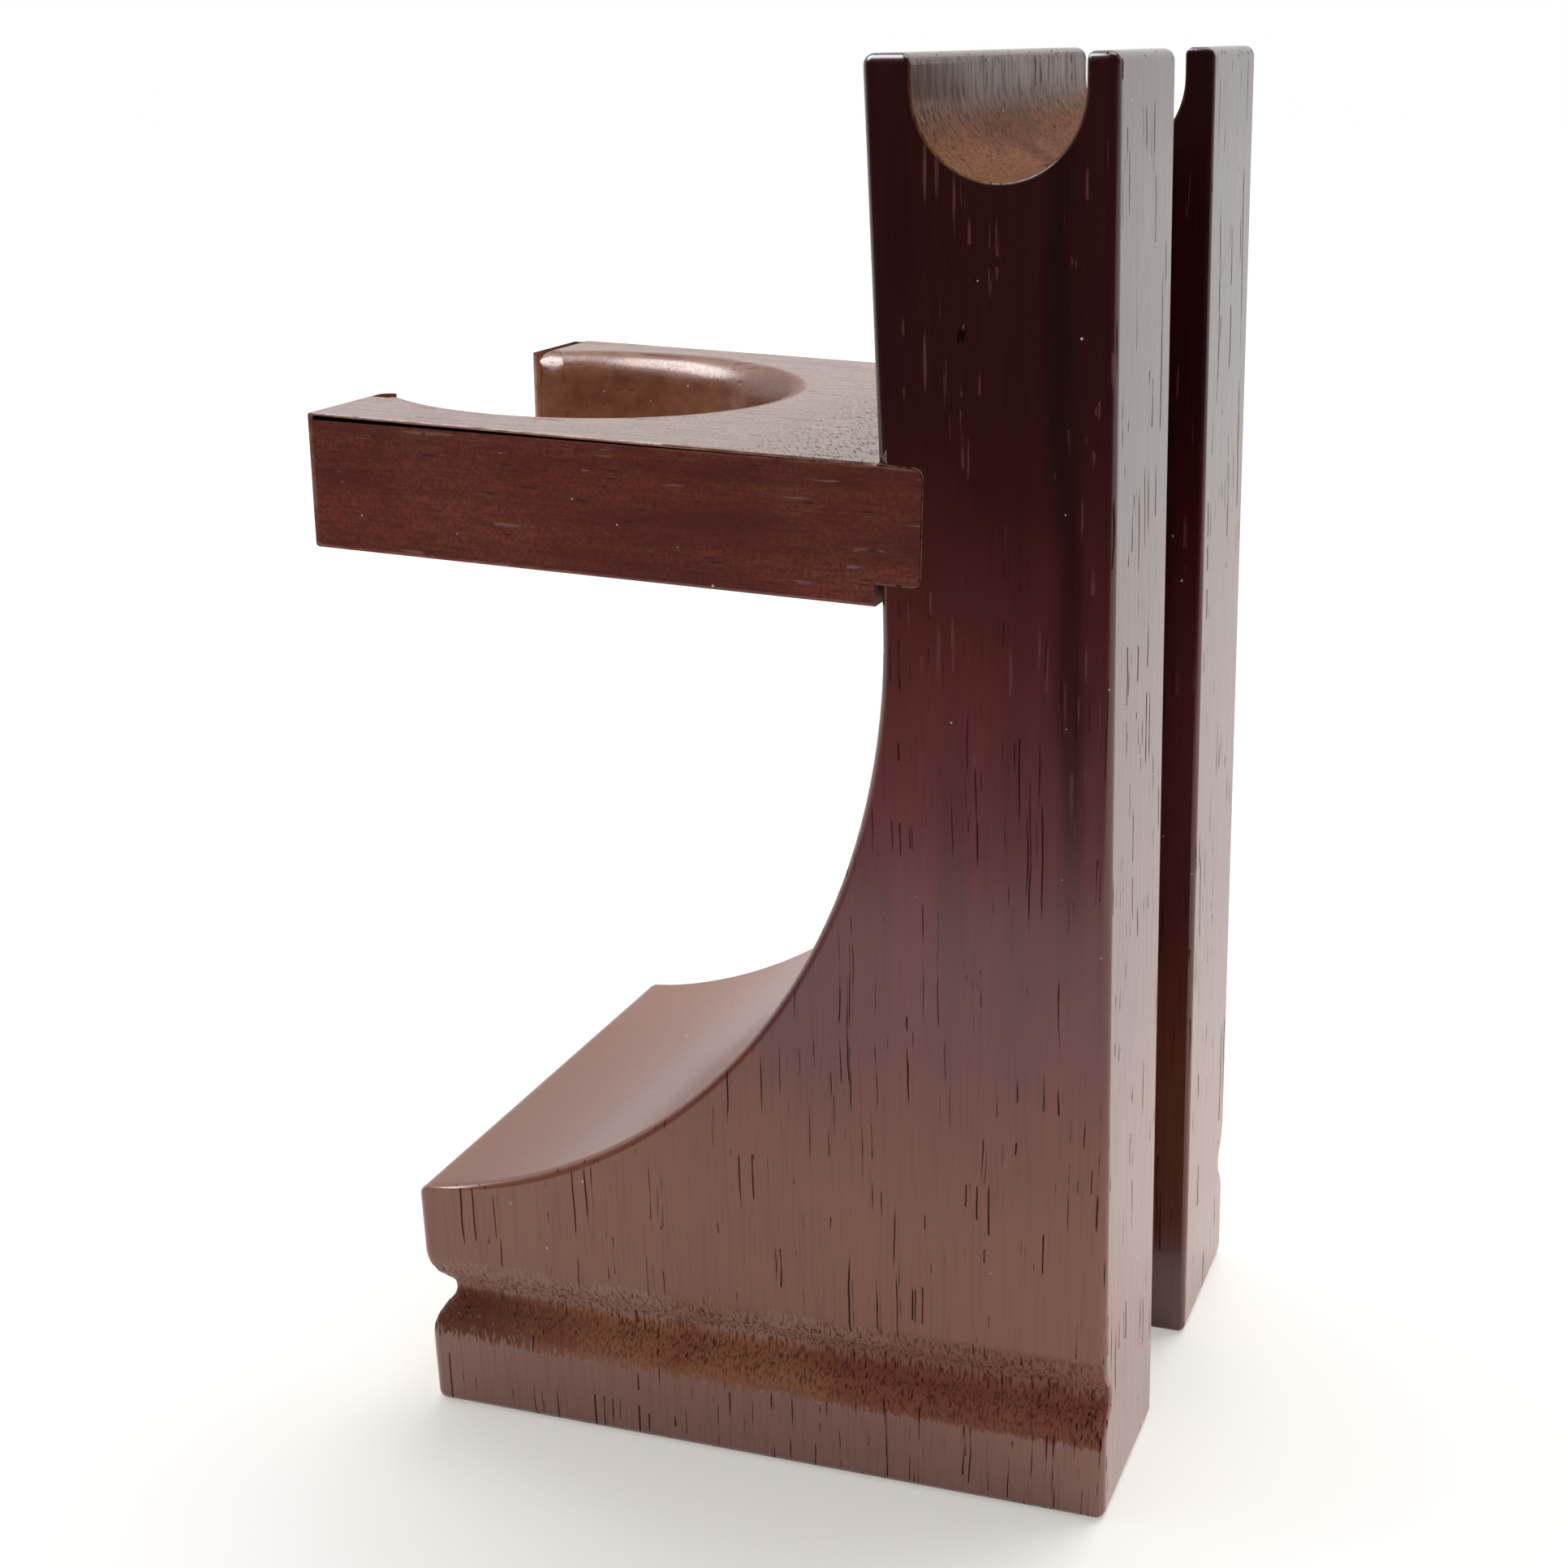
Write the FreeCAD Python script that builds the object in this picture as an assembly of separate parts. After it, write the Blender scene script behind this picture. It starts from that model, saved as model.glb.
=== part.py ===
import FreeCAD, Part
import math
import os

# A wooden stand for one razor and one shaving brush, in two glued pieces:
#   body        foot and post sawn and moulded from one block, grain upright
#   brush_fork  flat board with a C-shaped seat, its tongue housed across the post
# +Z is up, the fork reaches towards -Y and the razor slot opens towards +Y.
# The origin is at the middle of the bounding box, on the surface the foot rests on.
# While it is built, the body's back face lies at y = 0; the last step centres it.
# All sizes are in millimetres.

V = FreeCAD.Vector

# Body: a block, hollowed at the front by a quarter ellipse
height = 124.0
width = 50.8
foot_depth = 67.0
post_depth = 19.2             # where the fork meets the post
post_depth_top = 19.8         # the post swells a little towards its top
sweep_depth = 52.7            # half axes of the ellipse that joins post and foot
sweep_height = 57.4
sweep_centre_z = 80.4
edge_round = 0.9              # every outer arris is sanded over

# Groove run round the front and the sides of the foot
groove_z = 11.7
groove_deep = 1.8
groove_shoulder = 4.3         # the rounded arrises above and below it
groove_valley = 2.0

# Slot for the razor's handle, over the whole height of the back
slot_width = 14.7
slot_depth = 11.0
slot_round = 0.7

# Half-round channel across the top, for the razor's head
channel_radius = 6.7
channel_from_back = 9.2
channel_centre_z = 121.6

# Fork: a board that tilts up towards its tip, so the brush doesn't slide out
fork_thick = 11.5
fork_reach = 51.4             # shoulder to tip
fork_top_z = 93.6             # top face where it meets the post
fork_tilt = 2.35              # degrees
tongue_thick = 9.6            # bare-faced tongue, flush with the fork's top
tongue_long = 3.9
tongue_round = 0.8
seat_radius = 16.8
seat_off = -1.0               # the seat is cut a little to one side
seat_from_tip = 13.8
throat_half = 13.5
seat_lip = 3.2                # large round-over along the seat's upper edge

CUT = 5.0                     # how far a cutting tool runs past the wood


def box(x0, x1, y0, y1, z0, z1):
    return Part.makeBox(x1 - x0, y1 - y0, z1 - z0, V(x0, y0, z0))


def prism(edges, sweep):
    """Closed outline, extruded along a vector."""
    return Part.Face(Part.Wire(Part.__sortEdges__(edges))).extrude(sweep)


def groove_section(place):
    """Edges of the groove's section from below upwards; place(inwards, z) gives a point."""
    reach = groove_shoulder + groove_valley
    turn = math.acos(1 - groove_deep / reach)
    half = reach * math.sin(turn)
    waist = groove_valley * math.sin(turn)

    def shoulder(angle, side):
        inwards = groove_shoulder * (1 - math.cos(angle))
        return place(inwards, groove_z + side * (half - groove_shoulder * math.sin(angle)))

    low, high = place(0, groove_z - half), place(0, groove_z + half)
    depth = groove_shoulder * (1 - math.cos(turn))
    low_in, high_in = place(depth, groove_z - waist), place(depth, groove_z + waist)
    arcs = [
        Part.Arc(low, shoulder(turn / 2, -1), low_in),
        Part.Arc(low_in, place(groove_deep, groove_z), high_in),
        Part.Arc(high_in, shoulder(turn / 2, 1), high),
    ]
    return low, high, [arc.toShape() for arc in arcs]


def side_outline():
    """The block's outline seen from the side, in the plane x = -width / 2."""
    x = -width / 2

    def at(y, z):
        return V(x, y, z)

    low, high, groove = groove_section(lambda inwards, z: at(-foot_depth + inwards, z))
    centre = at(-post_depth - sweep_depth, sweep_centre_z)
    ellipse = Part.Ellipse(centre + V(0, 0, sweep_height), centre + V(0, sweep_depth, 0), centre)
    toe_cos = (centre.y + foot_depth) / sweep_depth
    toe = at(-foot_depth, sweep_centre_z - sweep_height * math.sqrt(1 - toe_cos ** 2))
    heel = at(-post_depth, sweep_centre_z)
    ends = sorted([ellipse.parameter(toe), ellipse.parameter(heel)])
    sweep = Part.ArcOfEllipse(ellipse, *ends).toShape()
    corners = [heel, at(-post_depth, fork_top_z), at(-post_depth_top, height),
               at(0, height), at(0, 0), at(-foot_depth, 0), low]
    straight = [Part.makeLine(a, b) for a, b in zip(corners, corners[1:])]
    return straight + groove + [Part.makeLine(high, toe), sweep]


def front_outline():
    """The block's outline seen from the front, with the groove on both sides."""
    edges = []
    ends = []
    for side in (-1, 1):
        low, high, groove = groove_section(
            lambda inwards, z: V(side * (width / 2 - inwards), -foot_depth - CUT, z))
        foot = V(low.x, low.y, 0)
        head = V(low.x, low.y, height)
        edges += groove + [Part.makeLine(foot, low), Part.makeLine(high, head)]
        ends.append((foot, head))
    edges += [Part.makeLine(ends[0][i], ends[1][i]) for i in (0, 1)]
    return edges


def sharp_edges(shape, accept=lambda edge: True, least_turn=25.0):
    """Edges where two faces meet at an angle, that also pass accept()."""
    found = []
    for edge in shape.Edges:
        faces = [f for f in shape.Faces if any(edge.isSame(e) for e in f.Edges)]
        if len(faces) != 2 or not accept(edge):
            continue
        middle = edge.valueAt((edge.FirstParameter + edge.LastParameter) / 2)
        normals = [f.normalAt(*f.Surface.parameter(middle)) for f in faces]
        if math.degrees(normals[0].getAngle(normals[1])) > least_turn:
            found.append(edge)
    return found


def rounded(shape, radius, accept=lambda edge: True):
    return shape.makeFillet(radius, sharp_edges(shape, accept))


def tilted(shape):
    """Lays a level piece of the fork at its tilt, turned about its top edge at the post."""
    shape.rotate(V(0, -post_depth, fork_top_z), V(1, 0, 0), -fork_tilt)
    return shape


def tongue(outwards):
    """The fork's tongue, and the tool for its housing; it starts outwards of the post's face."""
    bar = box(-width / 2, width / 2, -post_depth - outwards, -post_depth + tongue_long,
              fork_top_z - tongue_thick, fork_top_z)
    inner_end = -post_depth + tongue_long - 0.01
    return bar.makeFillet(tongue_round, [e for e in bar.Edges if e.BoundBox.YMin > inner_end])


def make_body():
    block = prism(side_outline(), V(width, 0, 0)).common(
        prism(front_outline(), V(0, foot_depth + 2 * CUT, 0)))
    block = rounded(block, edge_round)

    slot = box(-slot_width / 2, slot_width / 2, -slot_depth, CUT, -CUT, height + CUT)
    block = block.cut(slot)
    block = rounded(block, slot_round, lambda e: e.BoundBox.YMin > -0.01
                    and abs(abs(e.BoundBox.Center.x) - slot_width / 2) < 0.01)

    bar = Part.makeCylinder(channel_radius, width + 2 * CUT,
                            V(-width / 2 - CUT, -channel_from_back, channel_centre_z), V(1, 0, 0))
    above = box(-width / 2 - CUT, width / 2 + CUT, -channel_from_back - channel_radius,
                -channel_from_back + channel_radius, channel_centre_z, height + CUT)
    block = block.cut(bar.fuse(above).removeSplitter())

    return block.cut(tilted(tongue(CUT)))


def make_fork():
    tip = -post_depth - fork_reach
    board = box(-width / 2, width / 2, tip, -post_depth, fork_top_z - fork_thick, fork_top_z)
    seat_y = tip + seat_from_tip
    seat = Part.makeCylinder(seat_radius, fork_thick + 2 * CUT,
                             V(seat_off, seat_y, fork_top_z - fork_thick - CUT))
    mouth = box(seat_off - throat_half, seat_off + throat_half, tip - CUT, seat_y,
                fork_top_z - fork_thick - CUT, fork_top_z + CUT)
    board = board.cut(seat.fuse(mouth).removeSplitter())

    lip = [e for e in board.Edges if e.BoundBox.ZMin > fork_top_z - 0.01
           and e.BoundBox.YMax > tip + 0.01 and e.BoundBox.YMax < -post_depth - 0.01
           and abs(e.BoundBox.Center.x) < width / 2 - 0.01]
    board = board.makeFillet(seat_lip, lip)
    return tilted(board.fuse(tongue(1.0)).removeSplitter())


os.makedirs("parts", exist_ok=True)
pieces = {"body": make_body(), "brush_fork": make_fork()}
whole = Part.makeCompound(list(pieces.values())).optimalBoundingBox(False)
for name, shape in pieces.items():
    shape.translate(V(0, -whole.Center.y, 0))
    shape.exportStep("parts/" + name + ".step")
    print(name, shape.isValid(), len(shape.Solids), round(shape.Volume), "mm3")
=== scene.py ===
import math

import bmesh
import bpy
from mathutils import Matrix, Vector


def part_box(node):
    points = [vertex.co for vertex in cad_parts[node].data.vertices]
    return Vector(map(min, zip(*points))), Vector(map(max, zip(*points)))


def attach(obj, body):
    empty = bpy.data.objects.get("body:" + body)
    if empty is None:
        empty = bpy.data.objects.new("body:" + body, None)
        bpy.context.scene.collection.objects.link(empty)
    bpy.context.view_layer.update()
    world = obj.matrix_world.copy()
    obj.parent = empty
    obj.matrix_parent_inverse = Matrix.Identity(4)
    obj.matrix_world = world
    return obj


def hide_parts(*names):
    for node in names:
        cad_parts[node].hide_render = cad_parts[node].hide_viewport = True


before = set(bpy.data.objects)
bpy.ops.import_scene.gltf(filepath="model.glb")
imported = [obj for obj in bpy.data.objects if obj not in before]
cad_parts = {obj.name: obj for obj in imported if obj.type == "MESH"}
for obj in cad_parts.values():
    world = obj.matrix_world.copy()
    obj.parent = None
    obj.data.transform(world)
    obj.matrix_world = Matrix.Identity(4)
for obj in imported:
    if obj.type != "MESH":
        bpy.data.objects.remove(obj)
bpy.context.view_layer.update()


# ---------------------------------------------------------------------------
# The body: one block of red-stained hardwood, grain upright, lacquered satin.
# Post, swept front and moulded foot are one piece; a saw slot for the razor's
# handle runs down its back and a half-round channel crosses its top.
# ---------------------------------------------------------------------------
MM = 0.001
body_low, body_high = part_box("body")
BACK = body_high[1]
TOP = body_high[2]
HALF_WIDTH = body_high[0]
FOOT_FRONT = body_low[1]
FOOT_DEPTH = BACK - FOOT_FRONT
FIRST_LAYER = 4.0 * MM
POST_DEPTH = 19.2 * MM
POST_FACE = BACK - POST_DEPTH
TOP_DEPTH = 19.8 * MM
SWEEP_DEPTH = 52.7 * MM
SWEEP_HEIGHT = 57.4 * MM
SWEEP_CENTRE_Z = 80.4 * MM
GROOVE_Z = 11.7 * MM
GROOVE_DEEP = 1.8 * MM
GROOVE_SHOULDER = 4.3 * MM
GROOVE_VALLEY = 2.0 * MM
SLOT_WIDTH = 14.7 * MM
SLOT_DEPTH = 11.0 * MM
CHANNEL_RADIUS = 6.7 * MM
CHANNEL_Y = BACK - 9.2 * MM
CHANNEL_Z = 121.6 * MM
ARRIS = 0.9 * MM
TOE_ROUND = 1.3 * MM
SLOT_CORNER = 0.6 * MM
SLOT_ARRIS = 0.55 * MM
CHANNEL_FRONT_ARRIS = 0.9 * MM
CHANNEL_BACK_ARRIS = 0.5 * MM
CHANNEL_END_ARRIS = 0.45 * MM
JOINT_LINE = 0.14 * MM
PIT_Y = 23.4 * MM
PIT_Z = 103.8 * MM
PIT_SIZE = (0.45 * MM, 0.32 * MM, 0.85 * MM)
PIT_TILT = math.radians(-12)
FORK_TOP = 93.6 * MM
FORK_TILT = math.radians(2.35)
TONGUE_THICK = 9.6 * MM
TONGUE_LONG = 3.9 * MM
TONGUE_ROUND = 0.8 * MM
GROOVE_STEP = 0.26 * MM
GROOVE_STEPS = 18
SWEEP_STEPS = 44
GROOVE_CUTS = 230
GROOVE_BAND = 4.9 * MM
TORN_BAND = 4.7 * MM
CLEAR = 5 * MM
LONG_EDGE = 30 * MM
SHARP = math.radians(24)
ROUND_OF_WEIGHT_1 = 2 * MM


def near(a, b, tolerance=0.02 * MM):
    return abs(a - b) < tolerance


def deselect():
    for other in bpy.context.selected_objects:
        other.select_set(False)


def start_editing(piece):
    deselect()
    piece.select_set(True)
    bpy.context.view_layer.objects.active = piece
    bpy.ops.object.mode_set(mode="EDIT")
    bpy.ops.mesh.select_mode(type="FACE")
    bpy.ops.mesh.select_all(action="DESELECT")


def stop_editing():
    bpy.ops.object.mode_set(mode="OBJECT")


def pick(piece, kind, test):
    """Selects the faces or edges of the piece in edit mode that pass the test."""
    bpy.ops.mesh.select_mode(type=kind)
    bpy.ops.mesh.select_all(action="DESELECT")
    mesh = bmesh.from_edit_mesh(piece.data)
    parts = mesh.faces if kind == "FACE" else mesh.edges
    for part in parts:
        if test(part):
            part.select_set(True)
    mesh.select_flush_mode()
    bmesh.update_edit_mesh(piece.data)


def block(name, low, high):
    """A cube added at its size and place."""
    deselect()
    size = [high[i] - low[i] for i in range(3)]
    middle = [(high[i] + low[i]) / 2 for i in range(3)]
    bpy.ops.mesh.primitive_cube_add(size=1, location=middle, scale=size)
    piece = bpy.context.object
    piece.name = name
    piece.data.name = name
    bpy.ops.object.transform_apply(location=True, rotation=True, scale=True)
    return piece


def groove_depth(z):
    """How far the moulded groove is set in at a height: two soft shoulders and a valley."""
    turn = math.acos(1 - GROOVE_DEEP / (GROOVE_SHOULDER + GROOVE_VALLEY))
    half = (GROOVE_SHOULDER + GROOVE_VALLEY) * math.sin(turn)
    away = abs(z - GROOVE_Z)
    if away >= half:
        return 0.0
    if away <= GROOVE_VALLEY * math.sin(turn):
        return GROOVE_DEEP - (GROOVE_VALLEY - math.sqrt(GROOVE_VALLEY ** 2 - away ** 2))
    out = half - away
    return GROOVE_SHOULDER - math.sqrt(GROOVE_SHOULDER ** 2 - out ** 2)


def sweep_front(z):
    """Y of the front face at a height: a quarter ellipse under the straight post."""
    if z >= SWEEP_CENTRE_Z:
        return POST_FACE - (TOP_DEPTH - POST_DEPTH) * max(0.0, z - FORK_TOP) / (TOP - FORK_TOP)
    up = (SWEEP_CENTRE_Z - z) / SWEEP_HEIGHT
    return POST_FACE - SWEEP_DEPTH * (1 - math.sqrt(max(0.0, 1 - up * up)))


# The block rises from its underside in levels: plinth, groove, toe, sweep, post, top.
levels = []
for step in range(-GROOVE_STEPS, GROOVE_STEPS + 1):
    z = GROOVE_Z + step * GROOVE_STEP
    levels.append((z, FOOT_FRONT + groove_depth(z), groove_depth(z)))
toe_turn = math.acos((POST_FACE - SWEEP_DEPTH - FOOT_FRONT) / -SWEEP_DEPTH)
foot_top = SWEEP_CENTRE_Z - SWEEP_HEIGHT * math.sin(toe_turn)
for step in range(SWEEP_STEPS + 1):
    turn = toe_turn * (1 - step / SWEEP_STEPS)
    z = SWEEP_CENTRE_Z - SWEEP_HEIGHT * math.sin(turn)
    levels.append((z, sweep_front(z), 0.0))
levels.append((FORK_TOP, POST_FACE, 0.0))
levels.append((TOP, sweep_front(TOP), 0.0))

body = block("razor_post", (-HALF_WIDTH, FOOT_FRONT, 0), (HALF_WIDTH, BACK, FIRST_LAYER))
start_editing(body)
pick(body, "FACE", lambda face: face.normal.z > 0.9)
here = FIRST_LAYER
front = FOOT_FRONT
side = HALF_WIDTH
for z, new_front, inset in levels:
    bpy.ops.mesh.extrude_region_move(TRANSFORM_OT_translate={"value": (0, 0, z - here)})
    narrow = (HALF_WIDTH - inset) / side
    shallow = (BACK - new_front) / (BACK - front)
    bpy.ops.transform.resize(value=(narrow, shallow, 1), center_override=(0, BACK, z))
    here = z
    front = new_front
    side = HALF_WIDTH - inset
stop_editing()


def cut_away(piece, cutter):
    """Takes the cutter's shape out of the piece, as a saw, rasp or router does."""
    cut = piece.modifiers.new("cut", "BOOLEAN")
    cut.operation = "DIFFERENCE"
    cut.solver = "EXACT"
    cut.object = cutter
    deselect()
    piece.select_set(True)
    bpy.context.view_layer.objects.active = piece
    bpy.ops.object.modifier_apply(modifier=cut.name)
    bpy.data.objects.remove(cutter, do_unlink=True)


# The saw slot, open at the back, the top and the underside.
slot = block("slot", (-SLOT_WIDTH / 2, BACK - SLOT_DEPTH, -CLEAR),
             (SLOT_WIDTH / 2, BACK + CLEAR, TOP + CLEAR))
cut_away(body, slot)

# The half-round channel across the top, straight-sided above its centre.
deselect()
bpy.ops.mesh.primitive_cylinder_add(vertices=96, radius=CHANNEL_RADIUS, depth=4 * HALF_WIDTH,
                                    location=(0, CHANNEL_Y, CHANNEL_Z), rotation=(0, math.pi / 2, 0))
channel = bpy.context.object
bpy.ops.object.transform_apply(location=True, rotation=True, scale=True)
start_editing(channel)
bpy.ops.mesh.select_all(action="SELECT")
bpy.ops.mesh.bisect(plane_co=(0, 0, CHANNEL_Z), plane_no=(0, 0, 1), clear_outer=True, use_fill=True)
pick(channel, "FACE", lambda face: face.normal.z > 0.9)
bpy.ops.mesh.extrude_region_move(TRANSFORM_OT_translate={"value": (0, 0, 2 * CLEAR)})
stop_editing()
cut_away(body, channel)


def tilt_fork(piece):
    """Turns the piece about the fork's top edge at the post, tip up."""
    start_editing(piece)
    bpy.ops.mesh.select_all(action="SELECT")
    bpy.ops.transform.rotate(value=FORK_TILT, orient_axis="X", center_override=(0, POST_FACE, FORK_TOP))
    stop_editing()


housing = block("housing", (-2 * HALF_WIDTH, POST_FACE - 2 * MM, FORK_TOP - TONGUE_THICK),
                (2 * HALF_WIDTH, POST_FACE + TONGUE_LONG, FORK_TOP))
start_editing(housing)
pick(housing, "EDGE", lambda edge: all(near(v.co.y, POST_FACE + TONGUE_LONG) for v in edge.verts)
     and abs(edge.verts[0].co.x - edge.verts[1].co.x) > HALF_WIDTH)
bpy.ops.mesh.bevel(offset=TONGUE_ROUND, segments=5, affect="EDGES")
stop_editing()
tilt_fork(housing)
cut_away(body, housing)

# A pit left by a pin knot, near the top of the side.
deselect()
bpy.ops.mesh.primitive_uv_sphere_add(segments=16, ring_count=10, radius=1,
                                     location=(HALF_WIDTH, PIT_Y, PIT_Z),
                                     rotation=(PIT_TILT, 0, 0), scale=PIT_SIZE)
pit = bpy.context.object
bpy.ops.object.transform_apply(location=True, rotation=True, scale=True)
cut_away(body, pit)


def apply_modifiers(piece):
    deselect()
    piece.select_set(True)
    bpy.context.view_layer.objects.active = piece
    for modifier in list(piece.modifiers):
        bpy.ops.object.modifier_apply(modifier=modifier.name)


def round_arrises(piece, weigh, segments):
    """Eases the sharp edges: weigh(edge, middle) gives each one's radius."""
    mesh = bmesh.new()
    mesh.from_mesh(piece.data)
    bmesh.ops.remove_doubles(mesh, verts=mesh.verts, dist=0.002 * MM)
    weights = mesh.edges.layers.float.new("bevel_weight_edge")
    for edge in mesh.edges:
        if len(edge.link_faces) != 2:
            continue
        if edge.calc_face_angle() < SHARP:
            continue
        middle = (edge.verts[0].co + edge.verts[1].co) / 2
        edge[weights] = weigh(edge, middle) / ROUND_OF_WEIGHT_1
    mesh.to_mesh(piece.data)
    mesh.free()
    bevel = piece.modifiers.new("arris", "BEVEL")
    bevel.limit_method = "WEIGHT"
    bevel.offset_type = "OFFSET"
    bevel.width = ROUND_OF_WEIGHT_1
    bevel.segments = segments
    bevel.use_clamp_overlap = False
    bevel.miter_outer = "MITER_SHARP"
    bevel.material = 1
    bevel.loop_slide = True
    apply_modifiers(piece)


def body_arris(edge, middle):
    """The radius of each of the body's arrises, by where it lies."""
    flat = abs(edge.verts[0].co.z - edge.verts[1].co.z) < 0.01 * MM
    in_slot = abs(middle.x) < SLOT_WIDTH / 2 + 0.05 * MM
    behind_face = POST_FACE - 0.1 * MM < middle.y < POST_FACE + TONGUE_LONG + 0.4 * MM
    beside_tongue = FORK_TOP - TONGUE_THICK - 0.5 * MM < middle.z < FORK_TOP + 0.4 * MM
    in_channel = abs(middle.y - CHANNEL_Y) < CHANNEL_RADIUS + 0.05 * MM
    channel_floor = CHANNEL_Z - CHANNEL_RADIUS
    from_pit = math.hypot(middle.y - PIT_Y, middle.z - PIT_Z)
    at_toe = body_low[2] + 20 * MM < middle.z < foot_top + 1 * MM
    if behind_face and beside_tongue:
        return 0.0
    if in_slot and middle.y < BACK - 0.1 * MM and not flat and middle.z < channel_floor - 1 * MM:
        return SLOT_CORNER
    if in_slot and in_channel and channel_floor - 0.1 * MM < middle.z < TOP - 0.1 * MM:
        return 0.0
    if in_slot and middle.y > BACK - SLOT_DEPTH - 0.1 * MM:
        return SLOT_ARRIS
    if in_channel and middle.z > channel_floor - 0.1 * MM:
        if middle.z > TOP - 0.05 * MM:
            return CHANNEL_FRONT_ARRIS if middle.y < CHANNEL_Y else CHANNEL_BACK_ARRIS
        return CHANNEL_END_ARRIS
    if abs(middle.x - HALF_WIDTH) < 0.5 * MM and from_pit < 1.2 * MM:
        return 0.0
    if at_toe and abs(middle.x) < HALF_WIDTH - 1 * MM:
        return TOE_ROUND
    return ARRIS


body.data.materials.append(bpy.data.materials.new("body_wood"))
body.data.materials.append(bpy.data.materials.new("eased"))
round_arrises(body, body_arris, 5)
# Torn fibres in the groove: its faces are divided finely and roughened.
start_editing(body)
pick(body, "EDGE", lambda edge: abs(edge.verts[0].co.z - edge.verts[1].co.z) < 0.01 * MM
     and GROOVE_Z - GROOVE_BAND < edge.verts[0].co.z < GROOVE_Z + GROOVE_BAND
     and (edge.verts[0].co - edge.verts[1].co).length > LONG_EDGE)
bpy.ops.mesh.subdivide(number_cuts=GROOVE_CUTS)
stop_editing()
torn = body.vertex_groups.new(name="tear_depth")
for vertex in body.data.vertices:
    place = vertex.co
    away = abs(place.z - GROOVE_Z) / TORN_BAND
    inset = groove_depth(place.z)
    on_side = near(abs(place.x), HALF_WIDTH - inset, 0.3 * MM)
    on_front = near(place.y, FOOT_FRONT + inset, 0.3 * MM)
    if away < 1 and (on_side or on_front):
        along = (place.y - FOOT_FRONT) / FOOT_DEPTH
        torn.add([vertex.index], (1 - away ** 6) * (0.55 + 0.45 * along), "REPLACE")


def roughen(piece, group, grain_size, layers, depth, level):
    """Sinks the group's vertices unevenly. The level is above the pattern's highest value,
    so that none of them stands out of the wood."""
    clouds = bpy.data.textures.new(group, "CLOUDS")
    clouds.noise_scale = grain_size
    clouds.noise_depth = layers
    clouds.contrast = 1.6
    uneven = piece.modifiers.new(group, "DISPLACE")
    uneven.texture = clouds
    uneven.texture_coords = "LOCAL"
    uneven.vertex_group = group
    uneven.strength = depth
    uneven.mid_level = level
    apply_modifiers(piece)


roughen(body, "tear_depth", grain_size=0.45 * MM, layers=2, depth=0.22 * MM, level=1.1)


def mark(piece, name, measure):
    """Writes a value at each vertex, for the finish to follow."""
    values = piece.data.attributes.new(name, "FLOAT", "POINT")
    for vertex in piece.data.vertices:
        values.data[vertex.index].value = measure(vertex)


def mark_eased(piece):
    """Marks the rounded arrises, found by the finish slot the rounding gave them."""
    touched = [[0, 0] for _ in piece.data.vertices]
    for face in piece.data.polygons:
        for index in face.vertices:
            touched[index][face.material_index] += 1
    mark(piece, "eased", lambda vertex: 1.0 if touched[vertex.index][0] == 0 else 0.0)
    for face in piece.data.polygons:
        face.material_index = 0
    piece.data.materials.pop(index=1)


def in_torn_groove(vertex):
    """The depth of tearing, kept from the roughening."""
    return vertex.groups[0].weight if vertex.groups else 0.0


def on_sweep(vertex):
    """The hollow of the sweep is sanded by hand, and its lacquer is thinner."""
    place = vertex.co
    inside = abs(place.x) < HALF_WIDTH - 0.5 * MM and foot_top - 0.5 * MM < place.z < FORK_TOP
    return 1.0 if inside and near(place.y, sweep_front(place.z), 1 * MM) else 0.0


def smooth(piece):
    """Shades the piece smooth up to its sharp edges, with its flats kept flat."""
    deselect()
    piece.select_set(True)
    bpy.context.view_layer.objects.active = piece
    bpy.ops.object.shade_smooth_by_angle(angle=SHARP)
    even = piece.modifiers.new("even", "WEIGHTED_NORMAL")
    even.keep_sharp = True
    apply_modifiers(piece)


mark_eased(body)
mark(body, "torn", in_torn_groove)
mark(body, "swept", on_sweep)
smooth(body)


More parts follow.
